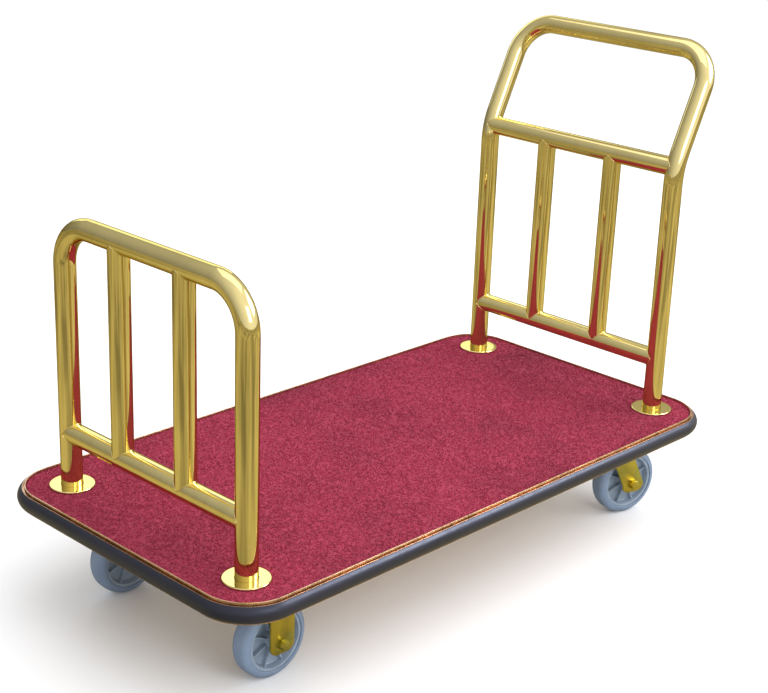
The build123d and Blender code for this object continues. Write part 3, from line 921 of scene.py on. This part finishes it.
class CART_OT_handle_rail(bpy.types.Operator):
    """Bends the push handle's hoop and sets its crossbars, uprights and welds"""

    bl_idname = "cart.handle_rail"
    bl_label = "Push handle"

    def execute(self, context):
        sizes = context.scene.cart_rails
        x, y, foot, top, radius, grip = rail_places("handle")
        lower, upper = middle("handle_lower_crossbar"), middle("handle_upper_crossbar")
        bar_radius = size("handle_lower_crossbar").z / 2
        upper_radius = size("handle_upper_crossbar").z / 2
        upright = size("handle_picket_left").y / 2
        left = [(x, -y, foot), (x, -y, upper.z), (grip, -y, top)]
        right = [(grip, y, top), (x, y, upper.z), (x, y, foot)]
        bends = [sizes.tilt_bend, sizes.hoop_bend, sizes.hoop_bend, sizes.tilt_bend]
        hoop = routed(left + right, bends)
        tube_piece("handle_bent_tube", [(hoop, False)], radius, ["handle_hoop"], sizes)
        welds = []
        for name, spot, thick in (("lower", lower, bar_radius), ("upper", upper, upper_radius)):
            line = routed([(spot.x, -y, spot.z), (spot.x, y, spot.z)], [])
            node = f"handle_{name}_crossbar"
            tube_piece(f"handle_{name}_cross_tube", [(line, False)], thick, [node], sizes)
            level = Vector((grip - x, 0, 2 * (top - upper.z)))
            lean = Vector((0, 0, 1)) if name == "lower" else level
            for side in (-1, 1):
                welds.append(saddle((spot.x, side * y, spot.z), (0, -side, 0), thick, lean, radius))
        lean = (upper - lower).normalized()
        for side in SIDES:
            node = f"handle_picket_{side}"
            at = Vector((0, middle(node).y, 0))
            line = routed([lower + at, upper + at], [])
            tube_piece(f"handle_{side}_upright", [(line, False)], upright, [node], sizes)
            welds.append(saddle(lower + at, lean, upright, (0, 1, 0), bar_radius))
            welds.append(saddle(upper + at, -lean, upright, (0, 1, 0), upper_radius))
        tube_piece("handle_weld_beads", welds, sizes.weld_radius, [], sizes)
        return {"FINISHED"}


def foot_section(rim, thick, bore):
    """Closed section of a foot disc: eased bore, faintly dished face and rolled rim."""
    ease, roll, dish, under = 0.0004, 0.0016, 0.00005, 0.0003
    section = [(bore, 0.0), (bore, thick - ease), (bore + ease, thick)]
    section += [(bore + 0.004, thick), (rim - 0.006, thick - dish)]
    section += arc((rim - roll, thick - dish - roll), roll, 90, 0, 6)
    return section + [(rim, under), (rim - under, 0.0)]


class CART_OT_post_feet(bpy.types.Operator):
    """Turns the four foot discs, and eases the plugs and bolts under them"""

    bl_idname = "cart.post_feet"
    bl_label = "Post feet"

    def execute(self, context):
        for rail in ("low", "handle"):
            for side in SIDES:
                node = f"post_flange_{rail}_{side}"
                spot, span = middle(node), size(node)
                section = foot_section(span.x / 2, span.z, post_radius(rail) + POST_GAP)
                disc = lathe(f"{rail}_{side}_foot_disc", section, 128)
                disc.transform(Matrix.Translation((spot.x, spot.y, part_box(node)[0][2])))
                keep(disc.name, disc, "polished_brass", [node])
                eased_copy(f"post_plug_{rail}_{side}", "plain_steel", 0.0004)
                eased_copy(f"post_bolt_{rail}_{side}", "plain_steel", 0.0004)
        return {"FINISHED"}


# ---------------------------------------------------------------- deck
def rim_distance(points, half, corner):
    """Signed distance of points to the deck's outline, and the way out to it."""
    q = np.abs(points) - (half - corner)
    outside = np.maximum(q, 0.0)
    length = np.linalg.norm(outside, axis=1)
    inner = np.minimum(np.max(q, axis=1), 0.0)
    distance = length + inner - corner
    way = np.where(
        (length > 1e-9)[:, None],
        outside / np.maximum(length, 1e-9)[:, None],
        (q >= np.max(q, axis=1)[:, None]).astype(float),
    )
    return distance, way * np.sign(points)


SNAP_SHARE = 0.72  # share of a cell within which points are drawn onto an edge
CARPET_SINK = 0.0011  # middle of the trodden surface below the carpet's top
FLECK_RISE = 0.00022
TREAD_RISE = 0.00012
EDGE_FALL = 0.0019
TREAD_WAVES = (
    (23.0, 11.0, 0.4), (-17.0, 29.0, 2.1), (41.0, -33.0, 4.0), (61.0, 52.0, 1.2),
)  # soft unevenness: turns along and across the carpet, and phase


class CART_OT_carpet(bpy.types.Operator):
    """Lays the carpet with its trodden surface, rolled edge and pile"""

    bl_idname = "cart.carpet"
    bl_label = "Carpet"

    def execute(self, context):
        sizes = context.scene.cart_deck
        low, high = (Vector(v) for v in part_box("carpet"))
        centre = np.array([(low.x + high.x) / 2, 0.0])
        half = np.array([(high.x - low.x) / 2, (high.y - low.y) / 2])
        cells = np.round(2 * half / sizes.cell).astype(int)
        across = [np.linspace(-half[k], half[k], cells[k] + 1) for k in (0, 1)]
        flat = np.stack(np.meshgrid(*across, indexing="ij"), axis=-1).reshape(-1, 2)
        reach = SNAP_SHARE * sizes.cell
        distance, way = rim_distance(flat, half, sizes.corner)
        near = (np.abs(distance) < reach) | (distance > 0)
        flat[near] -= (distance[:, None] * way)[near]
        gap = np.full(len(flat), 1.0)
        for rail in ("low", "handle"):
            tube = post_radius(rail) + PILE_GAP
            for side in SIDES:
                spot = middle(f"post_flange_{rail}_{side}")
                offset = flat - (np.array([spot.x, spot.y]) - centre)
                away = np.linalg.norm(offset, axis=1)
                hit = away - tube
                gap = np.minimum(gap, hit)
                snap = np.abs(hit) < reach
                flat[snap] = (flat - offset + offset / away[:, None] * tube)[snap]
        grid = np.arange(len(flat)).reshape(cells + 1)
        quads = np.stack([grid[:-1, :-1], grid[1:, :-1], grid[1:, 1:], grid[:-1, 1:]], axis=-1)
        quads = quads.reshape(-1, 4)
        outside = (distance > reach)[quads].any(axis=1) | (gap < -reach)[quads].any(axis=1)
        quads = quads[~outside]
        used, faces = np.unique(quads, return_inverse=True)
        faces = faces.reshape(-1, 4)
        flat = flat[used]
        depth = -rim_distance(flat, half, sizes.corner)[0]
        roll = np.clip(1.0 - depth / sizes.edge_roll, 0.0, 1.0)
        rng = np.random.default_rng(11)
        grain = rng.uniform(-1.0, 1.0, len(flat))
        waves = sum(
            np.sin(flat[:, 0] * fx + flat[:, 1] * fy + p)
            for fx, fy, p in TREAD_WAVES
        )
        height = high.z - CARPET_SINK + FLECK_RISE * grain + TREAD_RISE * waves
        height -= EDGE_FALL * (1 - np.sqrt(1 - roll**2))
        points = np.column_stack([flat + centre, height])
        mesh = plain_mesh("carpet_sheet", points.tolist(), faces.tolist())
        shape = bmesh.new()
        shape.from_mesh(mesh)
        bmesh.ops.dissolve_degenerate(shape, dist=1e-6, edges=shape.edges)
        rim = [e for e in shape.edges if e.is_boundary]
        skirt = bmesh.ops.extrude_edge_only(shape, edges=rim)["geom"]
        for vert in (v for v in skirt if isinstance(v, bmesh.types.BMVert)):
            vert.co.z = low.z
        foot = [e for e in skirt if isinstance(e, bmesh.types.BMEdge) and e.is_boundary]
        bmesh.ops.triangle_fill(shape, use_beauty=False, use_dissolve=False, edges=foot)
        shape.to_mesh(mesh)
        shape.free()
        tidied(mesh, 50.0)
        pile = grown(
            "carpet_pile_tufts",
            mesh.copy(),
            "Carpet pile",
            {
                "Density": sizes.pile_density,
                "Height": sizes.pile_height,
                "Width": sizes.pile_width,
                "Lean": radians(38),
                "Seed": 5,
                "Finish": finish("carpet_pile"),
            },
        )
        sheet = keep("carpet_sheet", mesh, "carpet_pile", ["carpet"])
        tufts = keep("carpet_pile_tufts", pile, "carpet_pile", [])
        return {"FINISHED"}


RIM_STEPS = 40
TRIM_EASE = 0.0004
SEAT_GAP = 0.00005  # between the bumper and the trim's web


def rim_route(sizes):
    """The carpet's edge as a closed route, at the height of the carpet's top."""
    low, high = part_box("carpet")
    corners = [
        (low[0], low[1], high[2]), (high[0], low[1], high[2]),
        (high[0], high[1], high[2]), (low[0], high[1], high[2]),
    ]
    return routed(corners, [sizes.corner] * 4, closed=True), True


def edging_piece(name, section, slot, node, sizes):
    """A piece with a section that runs round the rim, given as (out, up) points."""
    loop = [(out, -up, 0.0) for out, up in section]
    edges = [(i, (i + 1) % len(loop)) for i in range(len(loop))]
    outline = plain_mesh(name + "_section", loop, edges=edges)
    holder = bpy.data.objects.new(name + "_section", outline)
    bpy.context.scene.collection.objects.link(holder)
    mesh = grown(
        name,
        route_mesh(name + "_route", [rim_route(sizes)]),
        "Section round rim",
        {"Section": holder, "Bend steps": RIM_STEPS, "Finish": finish(slot)},
    )
    bpy.data.objects.remove(holder)
    return keep(name, tidied(mesh, 40.0), slot, [node])


def degrees_of(out, up):
    """Angle of a point in a section, in degrees."""
    return atan2(up, out) * 180 / pi


class CART_OT_edging(bpy.types.Operator):
    """Runs the brass trim and the vinyl bumper round the deck"""

    bl_idname = "cart.edging"
    bl_label = "Trim and bumper"

    def execute(self, context):
        sizes = context.scene.cart_deck
        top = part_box("carpet")[1][2]
        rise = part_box("edge_trim")[1][2] - top
        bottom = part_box("edge_trim")[0][2] - top
        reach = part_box("bumper")[1][1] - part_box("carpet")[1][1]
        web, sheet = sizes.trim_web, sizes.trim_sheet
        groove = web + sizes.trim_groove
        lip = groove + sheet
        centre = reach - sizes.bumper_radius
        drop = sizes.bumper_drop
        lip_top = -drop + sqrt(sizes.bumper_radius**2 - (lip - centre) ** 2)
        seat = -sizes.groove_depth - sheet
        flange = bottom + sheet
        trim = [
            (0.0, rise), (web, rise), (web, -sizes.groove_depth), (groove, -sizes.groove_depth),
            (groove, lip_top), (lip, lip_top), (lip, seat), (web, seat),
            (web, flange), (groove, flange), (groove, bottom), (0.0, bottom),
        ]
        trim = rounded_section(trim, TRIM_EASE)
        edging_piece("deck_brass_trim", trim, "trim_brass", "edge_trim", sizes)
        start = degrees_of(lip - centre, lip_top + drop)
        stop = degrees_of(groove - centre, flange + drop)
        body = [(web + SEAT_GAP, flange), (web + SEAT_GAP, seat), (lip, seat)]
        body += arc((centre, -drop), sizes.bumper_radius, start, stop, 40)
        edging_piece("deck_vinyl_bumper", body, "bumper_vinyl", "bumper", sizes)
        return {"FINISHED"}


class CART_OT_under_frame(bpy.types.Operator):
    """Finishes the board, the steel frame and the two cross channels"""

    bl_idname = "cart.under_frame"
    bl_label = "Board and frame"

    def execute(self, context):
        eased_copy("deck_board", "plywood", 0.0006)
        eased_copy("frame_ring", "gold_paint", 0.0008)
        for end in ("front", "rear"):
            eased_copy(f"cross_channel_{end}", "gold_paint", 0.0008)
        return {"FINISHED"}


# ---------------------------------------------------------------- casters
class CART_OT_caster_frames(bpy.types.Operator):
    """Eases the forks, plates, kingpins, axles and bolts of the casters"""

    bl_idname = "cart.caster_frames"
    bl_label = "Caster frames"

    def execute(self, context):
        for caster in CASTERS:
            eased_copy(f"{caster}_fork", "yellow_zinc", 0.0009)
            eased_copy(f"{caster}_axle_bolt", "yellow_zinc", 0.0008)
            eased_copy(f"{caster}_axle_nut", "yellow_zinc", 0.0006)
            eased_copy(f"{caster}_plate_bolts", "yellow_zinc", 0.0004)
            if caster.startswith("rear"):
                eased_copy(f"{caster}_caster_plate", "yellow_zinc", 0.0007)
                eased_copy(f"{caster}_kingpin", "yellow_zinc", 0.0005)
        return {"FINISHED"}


RIM_WALL = 0.005  # of the core, under the rubber
RIM_HALF = 0.017  # half the width of the core's rim
WEB_FILLET = 0.0035
RIB_DRAFT = 0.72  # thickness of a rib's edge as a share of its middle
TYRE_LIP = ((0.0, 0.0012), (0.0008, 0.0004), (0.0018, 0.0004), (0.0026, 0.0))
TYRE_CROWN = ((0.0001, 0.004), (0.0001, 0.0009), (0.0, 0.0004))


def both_sides(side):
    """A section closed with its mirror image across the wheel's middle."""
    return side + [(r, -z) for r, z in reversed(side)]


def tyre_section(sizes, outer, half):
    """Section of a tyre: moulded lips at the core, round shoulders and a flat crown."""
    bore, shoulder = outer - sizes.tyre_depth, sizes.shoulder
    side = [(bore + out, half - back) for out, back in TYRE_LIP]
    side += arc((outer - shoulder - 0.0002, half - shoulder), shoulder, 90, 4, 12)
    side += [(outer - under, across) for under, across in TYRE_CROWN]
    return [(bore, 0.0)] + both_sides(side)


def core_section(sizes, bore, hub):
    """Section of a wheel core: hub, thin web with filleted roots and a stepped rim."""
    inner, rim, root = sizes.hub_radius, bore - RIM_WALL, sizes.web + WEB_FILLET
    side = [(sizes.bore_radius, hub), (inner - 0.0012, hub), (inner - 0.0003, hub - 0.0004)]
    side += [(inner, hub - 0.0014), (inner + 0.0006, root)]
    side += arc((inner + 0.0006 + WEB_FILLET, root), WEB_FILLET, 180, 270, 5)
    side += arc((rim - 0.0050, root), WEB_FILLET, 270, 360, 5)
    side += [(rim - 0.0002, RIM_HALF - 0.0012), (rim + 0.0004, RIM_HALF - 0.0003)]
    side += [(rim + 0.0014, RIM_HALF), (bore - 0.0006, RIM_HALF)]
    return both_sides(side + [(bore - 0.00002, RIM_HALF - 0.0006)])


def rib_mesh(sizes, start, stop):
    """One rib from the hub to the rim, drafted towards its two edges."""
    reach, foot = sizes.rib_reach, sizes.rib_thickness / 2
    tip = foot * RIB_DRAFT
    corners = [
        (-tip, -reach), (tip, -reach), (foot, 0.0), (tip, reach), (-tip, reach), (-foot, 0.0),
    ]
    section = rounded_section(corners, 0.0009)
    count = len(section)
    points = [(r, a, b) for r in (start, stop) for a, b in section]
    faces = [(k, (k + 1) % count, count + (k + 1) % count, count + k) for k in range(count)]
    faces += [tuple(reversed(range(count))), tuple(range(count, 2 * count))]
    return tidied(plain_mesh("wheel_rib", points, faces))


class CART_OT_wheels(bpy.types.Operator):
    """Turns the four tyres and moulds the ribbed wheel cores"""

    bl_idname = "cart.wheels"
    bl_label = "Wheels"

    def execute(self, context):
        sizes = context.scene.cart_casters
        span = size("front_left_tyre")
        bore = span.z / 2 - sizes.tyre_depth
        tyre = tyre_section(sizes, span.z / 2, span.y / 2)
        core = core_section(sizes, bore, size("front_left_wheel_core").y / 2)
        start, stop = sizes.hub_radius - 0.001, bore - RIM_WALL + 0.0005
        rib = bpy.data.objects.new("wheel_rib", rib_mesh(sizes, start, stop))
        context.scene.collection.objects.link(rib)
        for caster in CASTERS:
            body = f"{caster}_wheel"
            joint = joint_of(body)
            axle = Vector(joint["axis"]).normalized()
            ahead = axle.cross(Vector((0, 0, 1))).normalized()
            place = Matrix((ahead, axle.cross(ahead), axle)).transposed().to_4x4()
            place.translation = Vector(joint["pos_m"])
            rubber = lathe(f"{caster}_rubber_tyre", tyre, 144)
            rubber.transform(place)
            keep(rubber.name, rubber, "wheel_tyre", [f"{caster}_tyre"], body)
            centre = grown(
                f"{caster}_ribbed_core",
                lathe(f"{caster}_core_blank", core, 96),
                "Ribs round hub",
                {
                    "Rib": rib,
                    "Ribs": sizes.ribs,
                    "Turn": pi / sizes.ribs,
                    "Finish": finish("wheel_plastic"),
                },
            )
            centre.transform(place)
            centre.set_sharp_from_angle(angle=radians(32))
            keep(centre.name, centre, "wheel_plastic", [f"{caster}_wheel_core"], body)
        bpy.data.objects.remove(rib)
        return {"FINISHED"}


# ---------------------------------------------------------------- studio
WHITE = (1.0, 1.0, 1.0)
FLOOR_REACH = 14
BRIGHT_SIDE = (0.15, -0.80, 0.55)  # way to the bright side of the room
ROOM_FADE = 0.9  # how far from the bright side's axis the light goes on changing
ROOM_SHARES = (0.28, 1.5)  # of the room light, at the dark and at the bright side
CART_MIDDLE = (0.0, 0.0, 0.35)
CAMERA_PLACE = (-2.00175, -1.90800, 1.20360)  # its height is above the carpet
CAMERA_TURN = (0.7601997, 0.5221242, -0.2338348, -0.3079025)
SOFTBOXES = (
    # name, power, place, the point that it faces, width, height, colour
    ("overhead", "key_power", (0.3, 0.2, 3.0), CART_MIDDLE, 2.6, 2.2, WHITE),
    ("side", "side_power", (1.9, -1.5, 2.1), (-0.2, -0.1, 0.4), 1.8, 1.5, (0.93, 0.94, 1.0)),
    ("front", "front_power", (-0.6, -3.0, 1.9), CART_MIDDLE, 1.3, 1.5, WHITE),
    ("glint", "glint_power", (1.7, -1.7, 1.9), (-0.3, -0.3, 0.3), 1.4, 1.2, WHITE),
    ("back", "back_power", (1.6, 2.9, 1.9), CART_MIDDLE, 3.2, 1.5, (0.88, 0.95, 1.0)),
)


def softbox(name, power, place, facing, width, height, colour):
    """A flat light that faces a point. The glint softbox shows only in gloss."""
    lamp = bpy.data.lights.new(name, "AREA")
    lamp.shape = "RECTANGLE"
    lamp.size, lamp.size_y = width, height
    lamp.energy = power
    lamp.color = colour
    holder = bpy.data.objects.new(name, lamp)
    holder.location = place
    holder.rotation_mode = "QUATERNION"
    holder.rotation_quaternion = (Vector(facing) - Vector(place)).to_track_quat("-Z", "Y")
    holder.visible_diffuse = name != "glint_softbox"
    bpy.context.scene.collection.objects.link(holder)


def pale_floor(studio):
    """The pale floor. Gloss shows it in a painted reflection colour: darker, warmer and mottled, so
    the polished parts reflect a darker floor than the camera sees.
    """
    s = Surface("studio_floor", Roughness=0.9, Specular_IOR_Level=0.1)
    soft = s.noise(0.7, 2.0)
    pale = s.ramp(soft, [(0.3, studio.floor), (0.7, shade(studio.floor, 0.985))])
    # Painted reflection: mottled dark and light patches in the floor colour that only gloss shows.
    reflection_mottle = s.noise(0.85, 2.0, 0.55)
    reflection_paint = studio.painted_floor_reflection
    seen = s.ramp(reflection_mottle, [(0.38, shade(reflection_paint, 0.5)), (0.5, reflection_paint), (0.62, shade(reflection_paint, 1.28))])
    mirrored = s.node("ShaderNodeLightPath").outputs["Is Glossy Ray"]
    s.wear(Base_Color=s.mix(mirrored, pale, seen))
    signs = ((-1, -1), (1, -1), (1, 1), (-1, 1))
    corners = [(x * FLOOR_REACH, y * FLOOR_REACH, 0) for x, y in signs]
    mesh = plain_mesh("studio_floor", corners, [(0, 1, 2, 3)])
    mesh.materials.append(s.material)
    floor = bpy.data.objects.new("studio_floor", mesh)
    bpy.context.scene.collection.objects.link(floor)


def lit_room(studio):
    """Light from all round: bright on one side, dimmer in gloss, and white to the camera."""
    world = bpy.data.worlds.new("studio_room")
    world.use_nodes = True
    room = world.node_tree
    facing = add_node(room, "ShaderNodeVectorMath", {"operation": "DOT_PRODUCT"})
    feed(room, facing.inputs[0], add_node(room, "ShaderNodeTexCoord").outputs["Generated"])
    feed(room, facing.inputs[1], Vector(BRIGHT_SIDE).normalized())
    fall = add_node(
        room,
        "ShaderNodeMapRange",
        Value=facing.outputs["Value"],
        From_Min=-ROOM_FADE,
        From_Max=ROOM_FADE,
        To_Min=studio.room_light * ROOM_SHARES[0],
        To_Max=studio.room_light * ROOM_SHARES[1],
    )
    ray = add_node(room, "ShaderNodeLightPath").outputs
    dim = add_node(
        room,
        "ShaderNodeMapRange",
        Value=ray["Is Glossy Ray"],
        To_Min=1.0,
        To_Max=studio.mirrored_room,
    )
    strength = add_math(room, "MULTIPLY", fall.outputs["Result"], dim.outputs["Result"])
    sky = room.nodes["Background"]
    feed(room, sky.inputs["Color"], opaque(WHITE))
    feed(room, sky.inputs["Strength"], add_math(room, "MAXIMUM", strength, ray["Is Camera Ray"]))
    return world


def studio_camera(studio):
    """The camera, at its height above the carpet."""
    lens = bpy.data.cameras.new("studio_camera")
    lens.lens = studio.lens
    lens.sensor_width = 36.0
    camera = bpy.data.objects.new("studio_camera", lens)
    x, y, rise = CAMERA_PLACE
    camera.location = (x, y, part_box("carpet")[1][2] + rise)
    camera.rotation_mode = "QUATERNION"
    camera.rotation_quaternion = Quaternion(CAMERA_TURN)
    bpy.context.scene.collection.objects.link(camera)
    return camera


class CART_OT_studio(bpy.types.Operator):
    """Sets the pale floor, the soft lights and the camera"""

    bl_idname = "cart.studio"
    bl_label = "Studio"

    def execute(self, context):
        scene = context.scene
        studio = scene.cart_studio
        pale_floor(studio)
        scene.world = lit_room(studio)
        for name, power, *rest in SOFTBOXES:
            softbox(name + "_softbox", getattr(studio, power), *rest)
        scene.camera = studio_camera(studio)
        scene.view_settings.view_transform = "Standard"
        return {"FINISHED"}


# ---------------------------------------------------------------- panel
STEPS = [
    CART_OT_studio, CART_OT_low_rail, CART_OT_handle_rail, CART_OT_post_feet, CART_OT_carpet,
    CART_OT_edging, CART_OT_under_frame, CART_OT_caster_frames, CART_OT_wheels,
]  # in the order that they run
SETTINGS = {
    "cart_rails": CartRailSizes,
    "cart_deck": CartDeckSizes,
    "cart_casters": CartCasterSizes,
    "cart_finishes": CartFinishes,
    "cart_studio": CartStudio,
}


class CART_PT_panel(bpy.types.Panel):
    """Lists the cart's sizes, colours and making steps"""

    bl_idname = "CART_PT_panel"
    bl_label = "Luggage cart"
    bl_space_type = "VIEW_3D"
    bl_region_type = "UI"
    bl_category = "Luggage cart"

    def draw(self, context):
        for key, group in SETTINGS.items():
            box = self.layout.box()
            box.label(text=group.__doc__.split(".")[0])
            for name in group.__annotations__:
                box.prop(getattr(context.scene, key), name)
        for step in STEPS:
            self.layout.operator(step.bl_idname)


def register():
    """Registers the settings, operators and panel."""
    for key, group in SETTINGS.items():
        bpy.utils.register_class(group)
        setattr(bpy.types.Scene, key, PointerProperty(type=group))
    for step in STEPS:
        bpy.utils.register_class(step)
    bpy.utils.register_class(CART_PT_panel)


def unregister():
    """Takes them away again."""
    bpy.utils.unregister_class(CART_PT_panel)
    for step in reversed(STEPS):
        bpy.utils.unregister_class(step)
    for key, group in SETTINGS.items():
        delattr(bpy.types.Scene, key)
        bpy.utils.unregister_class(group)


def main():
    """Makes the whole cart."""
    register()
    for step in STEPS:
        group, name = step.bl_idname.split(".")
        getattr(getattr(bpy.ops, group), name)()


if __name__ == "__main__":
    main()
